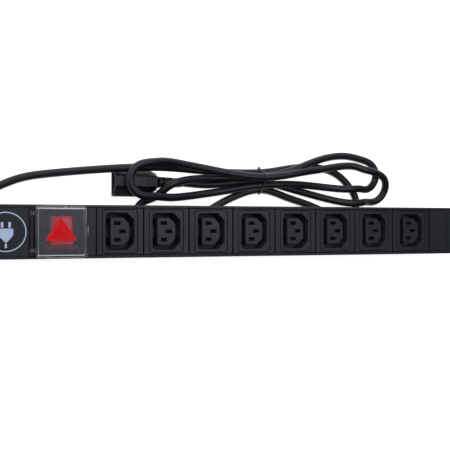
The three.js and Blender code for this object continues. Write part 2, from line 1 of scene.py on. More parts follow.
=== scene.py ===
# The look of the rack power strip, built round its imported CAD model. Metres, +Z out of the outlet face.
import math

import bmesh
import bpy
from mathutils import Matrix, Vector


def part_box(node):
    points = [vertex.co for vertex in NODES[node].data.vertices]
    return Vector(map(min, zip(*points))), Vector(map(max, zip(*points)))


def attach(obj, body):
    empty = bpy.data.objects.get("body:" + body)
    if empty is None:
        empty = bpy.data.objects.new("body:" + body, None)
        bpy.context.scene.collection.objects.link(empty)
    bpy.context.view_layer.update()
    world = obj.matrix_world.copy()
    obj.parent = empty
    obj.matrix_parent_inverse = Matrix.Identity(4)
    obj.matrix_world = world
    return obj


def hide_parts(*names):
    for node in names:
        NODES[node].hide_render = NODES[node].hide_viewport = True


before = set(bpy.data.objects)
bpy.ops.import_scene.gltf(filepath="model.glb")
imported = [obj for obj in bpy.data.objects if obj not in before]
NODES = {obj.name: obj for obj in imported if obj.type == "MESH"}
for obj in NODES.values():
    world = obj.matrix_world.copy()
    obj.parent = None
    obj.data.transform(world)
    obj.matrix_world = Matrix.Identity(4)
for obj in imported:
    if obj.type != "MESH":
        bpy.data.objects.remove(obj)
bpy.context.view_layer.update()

scene = bpy.context.scene


def middle(node):
    low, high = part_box(node)
    return (low + high) / 2


# ------------------------------------------------------------ places taken from the frame
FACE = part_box("label_panel")[1].z
OUTLETS = sorted(n for n in NODES if n.startswith("outlet_socket_"))
GLAND_AXIS = middle("cord_gland")
PLUG_LOW, PLUG_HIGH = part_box("plug_body")

# ------------------------------------------------------------ camera
CAMERA_TILT = math.radians(18.68)
CAMERA_OFF = Vector((-0.2262, 0.0055, 0.6337))  # from the middle of the face
CAMERA_LENS = 61.16  # millimetres, on a 36 mm sensor


def make_camera():
    data = bpy.data.cameras.new("camera")
    data.sensor_width = 36
    data.lens = CAMERA_LENS
    camera = bpy.data.objects.new("camera", data)
    camera.location = Vector((0, 0, FACE)) + CAMERA_OFF
    camera.rotation_euler = (0, -CAMERA_TILT, 0)
    scene.collection.objects.link(camera)
    scene.camera = camera


make_camera()

# ------------------------------------------------------------ the cord's route and facts
CORD_R = 0.0036
CORD_ROUTE = [
    # out of the gland, round and down to the surface
    (-.2505, 0, .034), (-.263, 0, .0335), (-.28, .0035, .027), (-.292, .018, .016),
    (-.291, .037, .0075), (-.278, .0505, .0037), (-.26, .0505, .0037), (-.241, .0365, .0037),
    (-.221, .029, .0037),
    # along the strip, up over the edge of the plug, and on to the tie
    (-.204, .037, .0037), (-.1825, .0475, .0037), (-.1555, .051, .0037), (-.129, .0535, .0105),
    (-.106, .055, .021), (-.076, .0572, .0214), (-.047, .058, .01), (-.008, .055, .0037),
    (.042, .0545, .0052),
    # first right-hand loop, its end under the strip
    (.0645, .0595, .0037), (.085, .0625, .0037), (.105, .062, .0037), (.123, .056, .0037),
    (.135, .0445, .0037), (.144, .032, .0037), (.1425, .019, .0037), (.131, .01, .0037),
    (.114, .0155, .0037), (.0905, .026, .0037), (.0675, .0315, .0037), (.042, .0422, .0052),
    # first left-hand loop, under the strip and over the plug's strain relief
    (.0175, .0345, .0037), (-.0075, .0225, .0037), (-.029, .006, .0037), (-.0495, -.0065, .0037),
    (-.0705, -.005, .0037), (-.0825, .007, .0037), (-.0805, .0205, .0037), (-.0745, .0275, .0046),
    (-.063, .03, .01), (-.055, .0415, .0202), (-.039, .0465, .0165), (-.0175, .049, .0094),
    (.012, .0495, .0098), (.0395, .051, .0114),
    # second right-hand loop
    (.061, .0545, .011), (.077, .0605, .0135), (.097, .0685, .01), (.1165, .0735, .004),
    (.1335, .0745, .0037), (.1465, .0715, .0037), (.159, .0685, .0037), (.165, .061, .0037),
    (.1655, .052, .0037), (.161, .044, .0038), (.1525, .04, .0065), (.1425, .042, .012),
    (.128, .04, .012), (.107, .0425, .006), (.081, .0445, .009), (.0615, .0445, .012),
    (.0395, .0435, .012),
    # second left-hand loop, over the plug
    (.0195, .0405, .01), (-.0025, .0365, .0055), (-.029, .0325, .0074), (-.053, .0295, .0176),
    (-.0675, .0315, .0236), (-.0795, .0305, .0266), (-.088, .0355, .0273), (-.0915, .044, .0276),
    (-.09, .0525, .0277), (-.083, .0595, .0278), (-.0715, .061, .0268), (-.0575, .063, .022),
    (-.041, .061, .016), (-.017, .0575, .013), (.0105, .052, .0186), (.0365, .0495, .0188),
    # third right-hand loop, over the other two
    (.0585, .052, .0192), (.0795, .0565, .0192), (.1015, .0595, .013), (.1225, .0635, .0085),
    (.1395, .0645, .0085), (.1465, .06, .0126), (.153, .0595, .0138), (.171, .0545, .012),
    (.1755, .043, .007), (.171, .0325, .0042), (.162, .0278, .004), (.152, .029, .0066),
    (.1455, .0275, .0119), (.133, .0265, .013), (.1185, .029, .007), (.096, .0345, .0037),
    (.0695, .041, .0037), (.042, .048, .0052),
    # back to the plug
    (.0155, .046, .0037), (-.008, .043, .0037), (-.022, .043, .0045), (-.0385, .0445, .0065),
]

# ------------------------------------------------------------ materials
def pale_or_dark(colour, share):
    return (*[min(1.0, c * share) for c in colour], 1)


def noise(tree, place, size, detail=3.0, stretch=(1, 1, 1)):
    """A noise texture whose features are about `size` metres across."""
    links = tree.links
    mapping = tree.nodes.new("ShaderNodeMapping")
    mapping.inputs["Scale"].default_value = stretch
    texture = tree.nodes.new("ShaderNodeTexNoise")
    texture.inputs["Scale"].default_value = 1 / size
    texture.inputs["Detail"].default_value = detail
    links.new(place.outputs["Object"], mapping.inputs["Vector"])
    links.new(mapping.outputs["Vector"], texture.inputs["Vector"])
    return texture.outputs["Fac"]


def ramp(tree, value, low, high, start=0.3, end=0.7):
    """A colour ramp from low to high as the value goes from start to end."""
    made = tree.nodes.new("ShaderNodeValToRGB")
    made.color_ramp.elements[0].position = start
    made.color_ramp.elements[1].position = end
    made.color_ramp.elements[0].color = low
    made.color_ramp.elements[1].color = high
    tree.links.new(value, made.inputs["Fac"])
    return made.outputs["Color"]


def mixed(tree, first, second, share):
    made = tree.nodes.new("ShaderNodeMix")
    made.data_type = "RGBA"
    made.inputs["Factor"].default_value = share
    tree.links.new(first, made.inputs["A"])
    tree.links.new(second, made.inputs["B"])
    return made.outputs["Result"]


def rough_between(tree, value, low, high):
    made = tree.nodes.new("ShaderNodeMapRange")
    made.inputs["From Min"].default_value = 0.3
    made.inputs["From Max"].default_value = 0.7
    made.inputs["To Min"].default_value = low
    made.inputs["To Max"].default_value = high
    tree.links.new(value, made.inputs["Value"])
    return made.outputs["Result"]


def bumped(tree, value, depth, strength):
    made = tree.nodes.new("ShaderNodeBump")
    made.inputs["Distance"].default_value = depth
    made.inputs["Strength"].default_value = strength
    tree.links.new(value, made.inputs["Height"])
    return made.outputs["Normal"]


def finish(name, colour, rough, grain, depth, strength=0.4, patch=0.03, vary=0.12,
           stretch=(1, 1, 1), sockets=None):
    """A surface with fine grain, slow colour change and uneven gloss. Sizes in metres."""
    material = bpy.data.materials.new(name)
    material.use_nodes = True
    tree = material.node_tree
    shader = tree.nodes["Principled BSDF"]
    place = tree.nodes.new("ShaderNodeTexCoord")
    fine = noise(tree, place, grain, 2.0, stretch)
    broad = noise(tree, place, patch, 4.0)
    slow = ramp(tree, broad, pale_or_dark(colour, 1 - vary), pale_or_dark(colour, 1 + vary))
    speckle = ramp(tree, fine, pale_or_dark(colour, 1 - 1.6 * vary), pale_or_dark(colour, 1 + 1.6 * vary))
    tree.links.new(mixed(tree, slow, speckle, 0.35), shader.inputs["Base Color"])
    tree.links.new(rough_between(tree, broad, *rough), shader.inputs["Roughness"])
    tree.links.new(bumped(tree, fine, depth, strength), shader.inputs["Normal"])
    for socket, value in (sockets or {}).items():
        shader.inputs[socket].default_value = value
    return material


def earth_stripes():
    """Green insulation with a yellow stripe, for the earth wire."""
    material = finish("wire_green", (0.035, 0.17, 0.025), (0.35, 0.45), 0.0006, 0.00002)
    tree = material.node_tree
    shader = tree.nodes["Principled BSDF"]
    plain = shader.inputs["Base Color"].links[0].from_socket
    place = tree.nodes.new("ShaderNodeTexCoord")
    wave = tree.nodes.new("ShaderNodeTexWave")
    wave.bands_direction = "DIAGONAL"
    wave.inputs["Scale"].default_value = 60
    tree.links.new(place.outputs["Object"], wave.inputs["Vector"])
    stripe = ramp(tree, wave.outputs["Fac"], (0, 0, 0, 1), (1, 1, 1, 1), 0.55, 0.6)
    made = tree.nodes.new("ShaderNodeMix")
    made.data_type = "RGBA"
    made.inputs["B"].default_value = (0.45, 0.36, 0.02, 1)
    tree.links.new(stripe, made.inputs["Factor"])
    tree.links.new(plain, made.inputs["A"])
    tree.links.new(made.outputs["Result"], shader.inputs["Base Color"])
    return material


FACE_TONE_FROM, FACE_TONE_AT = 0.0028, 0.0012  # the face's own finish starts and is full here
RECESS_PAINTED_LIGHT = [  # down from the face in metres, and the plastic's colour there, paler with depth: painted light filling the recess
    (0.0118, (0.075, 0.078, 0.112, 1)),
    (0.0092, (0.055, 0.057, 0.083, 1)),
    (FACE_TONE_FROM, (0.03, 0.031, 0.046, 1)),
]


def outlet_plastic_painted_recess_light():
    """The outlets' plastic: satin at the face and matt down in the recess, where painted light makes the
    colour paler the deeper it goes.
    """
    material = finish("outlet_plastic", (0.0098, 0.0105, 0.017), (0.44, 0.56), 0.0003, 0.00002)
    tree = material.node_tree
    shader = tree.nodes["Principled BSDF"]
    satin = shader.inputs["Base Color"].links[0].from_socket
    place = tree.nodes.new("ShaderNodeTexCoord")
    split = tree.nodes.new("ShaderNodeSeparateXYZ")
    tree.links.new(place.outputs["Object"], split.inputs["Vector"])

    def rising(low, high, start, end):
        made = tree.nodes.new("ShaderNodeMapRange")
        for socket, value in (("From Min", low), ("From Max", high), ("To Min", start), ("To Max", end)):
            made.inputs[socket].default_value = value
        tree.links.new(split.outputs["Z"], made.inputs["Value"])
        return made.outputs["Result"]

    gloss = rising(FACE - FACE_TONE_FROM, FACE - FACE_TONE_AT, 0.05, 0.38)
    tree.links.new(gloss, shader.inputs["Specular IOR Level"])
    bottom, top = RECESS_PAINTED_LIGHT[0][0], RECESS_PAINTED_LIGHT[-1][0]
    # Painted light: this ramp makes the recess paler the deeper it goes, in place of light filling it.
    painted_light_ramp = tree.nodes.new("ShaderNodeValToRGB")
    for k, (down, colour) in enumerate(RECESS_PAINTED_LIGHT):
        share = (bottom - down) / (bottom - top)
        stop = painted_light_ramp.color_ramp.elements[k] if k < 2 else painted_light_ramp.color_ramp.elements.new(share)
        stop.position = share
        stop.color = colour
    tree.links.new(rising(FACE - bottom, FACE - top, 0, 1), painted_light_ramp.inputs["Fac"])
    made = tree.nodes.new("ShaderNodeMix")
    made.data_type = "RGBA"
    share = rising(FACE - FACE_TONE_FROM, FACE - FACE_TONE_AT, 0, 1)
    tree.links.new(share, made.inputs["Factor"])
    tree.links.new(painted_light_ramp.outputs["Color"], made.inputs["A"])
    tree.links.new(satin, made.inputs["B"])
    tree.links.new(made.outputs["Result"], shader.inputs["Base Color"])
    return material


METAL = {"Metallic": 1.0}
SOFT_GLOSS = {"Specular IOR Level": 0.38}
LOOKS = {
    "channel_powder": finish(
        "powder_coat", (0.007, 0.0066, 0.0115), (0.42, 0.54), 0.0007, 0.00003, 0.5, sockets=SOFT_GLOSS,
    ),
    "module_plastic": finish(
        "face_plastic", (0.0095, 0.0102, 0.0165), (0.44, 0.56), 0.00035, 0.00002, sockets=SOFT_GLOSS,
    ),
    "outlet_plastic": outlet_plastic_painted_recess_light(),
    "badge": finish(
        "badge_film", (0.0052, 0.0068, 0.0115), (0.3, 0.4), 0.0005, 0.00001, sockets=SOFT_GLOSS,
    ),
    "print": finish("badge_print", (0.5, 0.6, 0.78), (0.4, 0.5), 0.0004, 0.000005, vary=0.06),
    "clear_cover": finish(
        "clear_polycarbonate", (0.68, 0.69, 0.73), (0.05, 0.12), 0.004, 0.00001, 0.15, vary=0.04,
        sockets={"Transmission Weight": 0.97, "IOR": 1.49, "Specular IOR Level": 0.2},
    ),
    "symbol": finish(
        "symbol_print", (0.7, 0.006, 0.01), (0.3, 0.4), 0.0006, 0.00001,
        sockets={"Specular IOR Level": 0.15},
    ),
    # The film's emission is a painted glow, brightening the red inside the triangle as if lit.
    "symbol_film": finish(
        "symbol_film", (0.6, 0.004, 0.008), (0.3, 0.4), 0.0006, 0.00001,
        sockets={
            "Specular IOR Level": 0.1, "Alpha": 0.55,
            "Emission Color": (0.9, 0.008, 0.016, 1), "Emission Strength": 0.25,
        },
    ),
    # A dull red band under the triangle, laid as a thin layer on the cover's top.
    "symbol_bar": finish("symbol_bar_band", (0.1, 0.025, 0.028), (0.4, 0.5), 0.0006, 0.00001),
    # The rocker's emission is a painted glow: it stands in for light reaching the rocker through the
    # clear cover.
    "rocker_red": finish(
        "rocker_red", (0.45, 0.006, 0.013), (0.24, 0.32), 0.0015, 0.00001, vary=0.08,
        sockets={"Emission Color": (0.9, 0.008, 0.016, 1), "Emission Strength": 0.38},
    ),
    "black_plastic": finish("black_plastic", (0.014, 0.014, 0.016), (0.4, 0.52), 0.0003, 0.00002),
    "neon_glass": finish(
        "neon_glass", (0.9, 0.6, 0.4), (0.04, 0.08), 0.002, 0.00001,
        sockets={"Transmission Weight": 0.8, "IOR": 1.5},
    ),
    "steel": finish("nickel_steel", (0.62, 0.62, 0.63), (0.2, 0.34), 0.0003, 0.00001, sockets=METAL),
    "brass": finish("brass", (0.66, 0.5, 0.2), (0.22, 0.36), 0.0005, 0.00001, sockets=METAL),
    # Its near-black colour is painted shade: the contacts are darkened to read as the deep, shaded slots.
    "tinned_copper": finish(
        "tinned_copper", (0.02, 0.02, 0.024), (0.5, 0.62), 0.0004, 0.00001,
        stretch=(0.1, 1, 1), sockets=METAL,
    ),
    "cord_pvc": finish(
        "cord_pvc", (0.0064, 0.0066, 0.0096), (0.36, 0.48), 0.0006, 0.00004, 0.5, sockets=SOFT_GLOSS,
    ),
    "wire_brown": finish("wire_brown", (0.07, 0.026, 0.011), (0.35, 0.45), 0.0006, 0.00002),
    "wire_blue": finish("wire_blue", (0.012, 0.05, 0.2), (0.35, 0.45), 0.0006, 0.00002),
    "wire_green": earth_stripes(),
}

# ------------------------------------------------------------ mesh tools
FILLET_POINTS = 5


def filleted(corners, radii):
    """The outline's points with each corner rounded. Corners and points are (x, y) pairs."""
    points = []
    count = len(corners)
    for i, (corner, radius) in enumerate(zip(corners, radii)):
        at = Vector(corner)
        back, ahead = Vector(corners[i - 1]) - at, Vector(corners[(i + 1) % count]) - at
        half = back.angle(ahead) / 2
        reach = min(max(radius, 1e-6) / math.tan(half), 0.49 * min(back.length, ahead.length))
        radius = reach * math.tan(half)
        back.normalize()
        ahead.normalize()
        centre = at + (back + ahead).normalized() * radius / math.sin(half)
        start, end = at + back * reach - centre, at + ahead * reach - centre
        first = math.atan2(start.y, start.x)
        sweep = (math.atan2(end.y, end.x) - first + math.pi) % (2 * math.pi) - math.pi
        for k in range(FILLET_POINTS):
            turn = first + sweep * k / (FILLET_POINTS - 1)
            points.append(centre + radius * Vector((math.cos(turn), math.sin(turn))))
    return points


def inlet_outline(width, height, cut, bend, corner, grow=0.0):
    """The IEC outline about (0, 0): corners rounded by `corner` on the left, and cut by `cut`
    on the right with `bend` at the ends of the cut. grow moves it outwards."""
    x, y = width / 2 + grow, height / 2 + grow
    cut = cut + grow * (2 - math.sqrt(2))
    corners = [(x - cut, -y), (x, -y + cut), (x, y - cut), (x - cut, y), (-x, y), (-x, -y)]
    return filleted(corners, [bend + grow] * 4 + [corner + grow] * 2)


def box_outline(width, height, corner, grow=0.0):
    x, y = width / 2 + grow, height / 2 + grow
    return filleted([(x, -y), (x, y), (-x, y), (-x, -y)], [corner + grow] * 4)


def circle(radius, count=32):
    turns = [2 * math.pi * i / count for i in range(count)]
    return [Vector((radius * math.cos(t), radius * math.sin(t))) for t in turns]


def level(outline, z):
    return [Vector((p.x, p.y, z)) for p in outline]


FLAT_RIM = 0.00012  # a flat strip on each side of a rounded edge, so that the big faces shade flat


def over_edge(radius, steps=4):
    """(inwards, up) steps over a rounded outer edge: from the wall, 0 in, to the top, `radius` in."""
    turns = [math.pi / 2 * i / (steps - 1) for i in range(steps)]
    arc = [(radius * (1 - math.cos(t)), radius * (math.sin(t) - 1)) for t in turns]
    return [(0, -radius - FLAT_RIM), *arc, (radius + FLAT_RIM, 0)]


def skin(rings, closed=False):
    """A solid skinned over rings of equally many points."""
    bm = bmesh.new()
    rows = [[bm.verts.new(p) for p in ring] for ring in rings]
    pairs = list(zip(rows, rows[1:]))
    if closed:
        pairs.append((rows[-1], rows[0]))
    for low, high in pairs:
        for i in range(len(low)):
            j = (i + 1) % len(low)
            bm.faces.new((low[i], low[j], high[j], high[i]))
    if not closed:
        bm.faces.new(list(reversed(rows[0])))
        bm.faces.new(rows[-1])
    bmesh.ops.recalc_face_normals(bm, faces=bm.faces)
    return bm


def block(low, high, edge=0.0):
    """A box between two corners, its edges rounded by `edge`."""
    low, high = Vector(low), Vector(high)
    bm = bmesh.new()
    bmesh.ops.create_cube(bm, size=1)
    bmesh.ops.scale(bm, vec=high - low, verts=bm.verts)
    bmesh.ops.translate(bm, vec=(low + high) / 2, verts=bm.verts)
    if edge:
        bmesh.ops.bevel(bm, geom=bm.edges, offset=edge, segments=2, profile=0.5, affect="EDGES")
    return bm


def along(bm, axis, centre):
    """Stands a mesh made about +Z along another axis, with its own zero at `centre`."""
    turn = Vector((0, 0, 1)).rotation_difference(Vector(axis)).to_matrix().to_4x4()
    bmesh.ops.transform(bm, matrix=Matrix.Translation(centre) @ turn, verts=bm.verts)
    return bm


def turned(profile, count=32):
    """A turned solid about +Z from (z, radius) steps."""
    return skin([level(circle(radius, count), z) for z, radius in profile])


def mesh_of(bm, name):
    mesh = bpy.data.meshes.new(name)
    bm.to_mesh(mesh)
    bm.free()
    return mesh


def combined(base, others, operation):
    """The base mesh with the others joined to it (UNION) or cut from it (DIFFERENCE)."""
    carrier = bpy.data.objects.new("carrier", mesh_of(base, "carrier"))
    scene.collection.objects.link(carrier)
    tools = []
    for other in others:
        tool = bpy.data.objects.new("tool", mesh_of(other, "tool"))
        scene.collection.objects.link(tool)
        tools.append(tool)
        modifier = carrier.modifiers.new("join", "BOOLEAN")
        modifier.operation = operation
        modifier.solver = "EXACT"
        modifier.object = tool
    bpy.context.view_layer.update()
    result = bpy.data.meshes.new_from_object(carrier.evaluated_get(bpy.context.evaluated_depsgraph_get()))
    bm = bmesh.new()
    bm.from_mesh(result)
    for obj in [carrier, *tools]:
        bpy.data.objects.remove(obj)
    bmesh.ops.remove_doubles(bm, verts=bm.verts, dist=1e-6)
    return bm


def piece(name, mesh, look, body="strip", replaces=(), at=(0, 0, 0), smooth=38):
    """One visible piece: a mesh or bmesh with its material, riding on a body."""
    if isinstance(mesh, bmesh.types.BMesh):
        mesh = mesh_of(mesh, name)
        mesh.shade_smooth()
        mesh.set_sharp_from_angle(angle=math.radians(smooth))
        mesh.materials.append(LOOKS[look])
    obj = bpy.data.objects.new(name, mesh)
    obj.location = at
    scene.collection.objects.link(obj)
    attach(obj, body)
    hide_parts(*replaces)
    return obj


# ------------------------------------------------------------ cord
def make_cord():
    data = bpy.data.curves.new("mains_cord", "CURVE")
    data.dimensions = "3D"
    data.resolution_u = 12
    spline = data.splines.new("NURBS")
    spline.points.add(len(CORD_ROUTE) - 1)
    for point, place in zip(spline.points, CORD_ROUTE):
        point.co = (*place, 1)
    spline.order_u = 4
    spline.use_endpoint_u = True
    line = bpy.data.objects.new("mains_cord", data)
    scene.collection.objects.link(line)
    bare = bpy.data.meshes.new_from_object(line)
    middle_line = [v.co.copy() for v in bare.vertices]
    data.bevel_depth = CORD_R
    data.bevel_resolution = 5
    data.use_fill_caps = True
    data.materials.append(LOOKS["cord_pvc"])
    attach(line, "strip")
    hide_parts("power_cord")
    return line, middle_line


def hull(points):
    """The convex outline of (x, y) points, counter-clockwise."""
    points = sorted(set(points))

    def chain(run):
        kept = []
        for p in run:
            while len(kept) > 1:
                (ax, ay), (bx, by) = kept[-2:]
                if (bx - ax) * (p[1] - ay) - (by - ay) * (p[0] - ax) > 0:
                    break
                kept.pop()
            kept.append(p)
        return kept[:-1]

    return chain(points) + chain(points[::-1])


def tube(path, radius, closed=False, count=10):
    """Rings of a round tube along a path of points."""
    rings = []
    total = len(path)
    side = None
    for i, p in enumerate(path):
        before = path[i - 1] if closed or i else p
        after = path[(i + 1) % total] if closed or i < total - 1 else p
        ahead = (after - before).normalized()
        if side is None:
            side = ahead.orthogonal().normalized()
        side = (side - ahead * side.dot(ahead)).normalized()
        up = ahead.cross(side)
        rings.append([p + side * c.x + up * c.y for c in circle(radius, count)])
    return rings


TIE_R = 0.0006


def make_tie(middle_line):
    """A wire tie drawn round the runs that pass it, with its ends twisted together."""
    x = middle("cord_tie").x
    points = []
    for a, b in zip(middle_line, middle_line[1:]):
        if (a.x - x) * (b.x - x) <= 0 and a.x != b.x:
            centre = a.lerp(b, (x - a.x) / (b.x - a.x))
            for c in circle(CORD_R + TIE_R, 36):
                points.append((round(centre.y + c.x, 6), round(centre.z + c.y, 6)))
    ring = hull(points)
    path = []
    for i, (y, z) in enumerate(ring):
        y2, z2 = ring[(i + 1) % len(ring)]
        steps = max(1, int(math.hypot(y2 - y, z2 - z) / 0.0015))
        run = [(y + (y2 - y) * k / steps, z + (z2 - z) * k / steps) for k in range(steps)]
        path += [Vector((x, across, max(up, TIE_R))) for across, up in run]
    bm = skin(tube(path, TIE_R, closed=True), closed=True)
    tie = piece("wire_tie", bm, "black_plastic", replaces=["cord_tie"])
    far_y = max(p.y for p in path)
    start = Vector((x, far_y, 0.0045))
    for k in range(2):
        turns = [math.pi * k + 0.9 * i for i in range(3)]
        ends = [
            start + Vector((0.0007 * math.cos(t), 0.0002 + 0.00045 * i, 0.0007 * math.sin(t)))
            for i, t in enumerate(turns)
        ]
        end = piece(f"wire_tie_end_{k + 1}", skin(tube(ends, TIE_R * 0.9)), "black_plastic")
        end.parent = tie
        end.matrix_parent_inverse = Matrix.Identity(4)
    return tie


cord, cord_middle = make_cord()
tie = make_tie(cord_middle)

# ------------------------------------------------------------ plug
SHOULDER = 0.0105  # height of the plug's straight sides
PLUG_FLAT = 0.0046  # half the width of its flat top
SHROUD_WALL = 0.0012
SHROUD_DEPTH = 0.017
REAR_TAPER = (0.012, 0.0058)  # how far the rear corners are cut, along X and Y
GRIP_START = 0.0155
GRIP_SLOPE = math.tan(math.radians(9))
RELIEF_LENGTH = 0.0229
RELIEF_FALL = math.radians(7.5)  # how steeply the plug's strain relief points down
RELIEF_ROOT_Z = 0.0098
GRIP_GROOVES, GRIP_PITCH = 4, 0.0019


def plug_section(x, inset=0.0, lower=0.0, ahead=0.0, flare=0.0):
    """The plug's outline at x: `inset` inside its face, its top `lower` down, narrowed by `ahead`."""
    half = (PLUG_HIGH.y - PLUG_LOW.y) / 2 - inset - ahead
    top = PLUG_HIGH.z - 1.5 * inset - lower
    flat = max(0.0012, PLUG_FLAT - 0.4 * inset)
    corners = [
        (half - 0.0014, inset), (half, inset + 0.0014), (half, SHOULDER), (flat, top),
        (-flat, top), (-half, SHOULDER), (-half, inset + 0.0014), (-half + 0.0014, inset),
    ]
    points = filleted(corners, [0.0008] * 2 + [0.0012] * 4 + [0.0008] * 2)
    y = (PLUG_LOW.y + PLUG_HIGH.y) / 2
    return [Vector((x, y + p.x, p.y)) for p in points]


def make_plug():
    front, back = PLUG_LOW.x, PLUG_HIGH.x
    slope_from = front + GRIP_START
    taper_from = back - REAR_TAPER[0]

    def outside(x, inset=0.0):
        lower = max(0.0, x - slope_from) * GRIP_SLOPE
        rear = max(0.0, x - taper_from) * REAR_TAPER[1] / REAR_TAPER[0]
        return plug_section(x, inset, lower, rear)

    rings = [outside(back - 0.0001, 0.0009), outside(back - 0.0004, 0.0003), outside(back - 0.001)]
    x = back - 0.0035
    for _ in range(GRIP_GROOVES):
        rings += [outside(x), outside(x - 0.0002, 0.0003), outside(x - 0.0007, 0.0003)]
        rings += [outside(x - 0.0009)]
        x -= GRIP_PITCH
    rings += [outside(taper_from), outside(slope_from), outside(front + 0.0008)]
    rings += [outside(front + 0.0002, 0.0001), outside(front, 0.0003)]
    rings += [plug_section(front, SHROUD_WALL - 0.0002), plug_section(front + 0.0004, SHROUD_WALL)]
    rings += [plug_section(front + SHROUD_DEPTH, SHROUD_WALL)]
    return piece("plug_moulding", skin(rings), "cord_pvc", replaces=["plug_body"], smooth=32)


def relief_rings(profile, bridges, count=32):
    """Rings about +Z from (z, radius, groove) steps; a groove's bridges stand at turns `bridges`."""
    rings = []
    for z, radius, groove in profile:
        ring = []
        for i in range(count):
            turn = 2 * math.pi * i / count
            bridge = groove and abs(math.cos(turn - bridges[groove % 2])) > 0.9
            r = radius if bridge or not groove else radius - 0.0012
            ring.append(Vector((r * math.cos(turn), r * math.sin(turn), z)))
        rings.append(ring)
    return rings


def relief_profile(start, length, wide, narrow, grooves, groove_from):
    """A tapered sleeve's steps: plain at its root, then grooves up to its small end."""
    def radius(z):
        return wide + (narrow - wide) * (z - start) / length

    steps = [(start, wide - 0.0004, 0), (start + 0.0004, wide, 0)]
    pitch = (length - groove_from) / grooves
    for k in range(1, grooves + 1):
        z = start + groove_from + pitch * (k - 1)
        steps += [(z, radius(z), 0), (z + 0.0003, radius(z), k)]
        steps += [(z + 0.0014, radius(z), k), (z + 0.0017, radius(z), 0)]
    end = start + length
    steps += [(end - 0.0004, radius(end), 0), (end, radius(end) - 0.0004, 0)]
    return steps


def make_plug_relief():
    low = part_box("plug_strain_relief")[0]
    profile = relief_profile(0, RELIEF_LENGTH, 0.0052, 0.0041, 5, 0.0032)
    bm = skin(relief_rings(profile, (0, math.pi / 2)))
    root = Vector((low.x + 0.0007, (PLUG_LOW.y + PLUG_HIGH.y) / 2, RELIEF_ROOT_Z))
    along(bm, (math.cos(RELIEF_FALL), 0, -math.sin(RELIEF_FALL)), root)
    return piece("plug_relief", bm, "cord_pvc", replaces=["plug_strain_relief"])


def make_gland_relief():
    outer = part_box("cord_gland")[0].x - 0.0003
    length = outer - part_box("cord_strain_relief")[0].x
    profile = [(-0.0265, CORD_R, 0), (0, CORD_R, 0)]
    profile += relief_profile(0, length, 0.0062, 0.0042, 5, 0.0036)
    bm = skin(relief_rings(profile, (0, math.pi / 2)))
    along(bm, (-1, 0, 0), (outer, GLAND_AXIS.y, GLAND_AXIS.z))
    return piece("gland_relief", bm, "cord_pvc", replaces=["cord_strain_relief"])


GLAND_SEAT = -0.2226  # X of the outer face of the rack ear's web, less the gap
NUT_APOTHEM, NUT_CORNER, NUT_HEIGHT = 0.00995, 0.0114, 0.005
GLAND_NECK = 0.0078


def hexagon(apothem, limit):
    """The outline of a hexagon whose corners reach `limit` at most, 8 points a side."""
    points = []
    for i in range(48):
        turn = 2 * math.pi * i / 48
        off = (turn + math.pi / 6) % (math.pi / 3) - math.pi / 6
        r = min(apothem / math.cos(off), limit)
        points.append(Vector((r * math.cos(turn), r * math.sin(turn))))
    return points


def fluted(radius, depth, ribs=12, count=48):
    turns = [2 * math.pi * i / count for i in range(count)]
    radii = [radius - depth * (0.5 + 0.5 * math.cos(ribs * t)) for t in turns]
    return [Vector((r * math.cos(t), r * math.sin(t))) for r, t in zip(radii, turns)]


def make_gland():
    low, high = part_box("cord_gland")
    bore = CORD_R + 0.0006
    dome, inner_end = GLAND_SEAT - low.x, GLAND_SEAT - high.x
    steps = [
        level(circle(GLAND_NECK, 48), inner_end),
        level(circle(GLAND_NECK, 48), 0.0001),
        level(hexagon(NUT_APOTHEM, NUT_CORNER - 0.0009), 0.0001),
        level(hexagon(NUT_APOTHEM, NUT_CORNER), 0.0006),
        level(hexagon(NUT_APOTHEM, NUT_CORNER), NUT_HEIGHT - 0.0006),
        level(hexagon(NUT_APOTHEM, NUT_CORNER - 0.0009), NUT_HEIGHT),
        level(fluted(0.0095, 0.0006), NUT_HEIGHT),
        level(fluted(0.0093, 0.0006), NUT_HEIGHT + 0.0012),
        level(fluted(0.0085, 0.0004), NUT_HEIGHT + 0.0022),
        level(circle(0.0074, 48), dome - 0.0005),
        level(circle(0.0068, 48), dome),
        level(circle(bore, 48), dome),
        level(circle(bore, 48), inner_end),
    ]
    bm = skin(steps, closed=True)
    along(bm, (-1, 0, 0), (GLAND_SEAT, GLAND_AXIS.y, GLAND_AXIS.z))
    piece("gland_nut", bm, "black_plastic", replaces=["cord_gland"], smooth=30)


plug = make_plug()
plug_relief = make_plug_relief()
gland_relief = make_gland_relief()
make_gland()

# ------------------------------------------------------------ outlets
RECESS = (0.024, 0.031)
TOWER = (0.016, 0.0233)
TOWER_DOWN = 0.0009
SLOT = (0.0054, 0.0028)
LEDGE_DOWN, LEDGE_HALF = 0.0095, 0.0054
FRAME_GAP = 0.0006
SLOT_PLACES = [(-0.0022, 0.007), (-0.0022, -0.007), (0.0022, 0)]


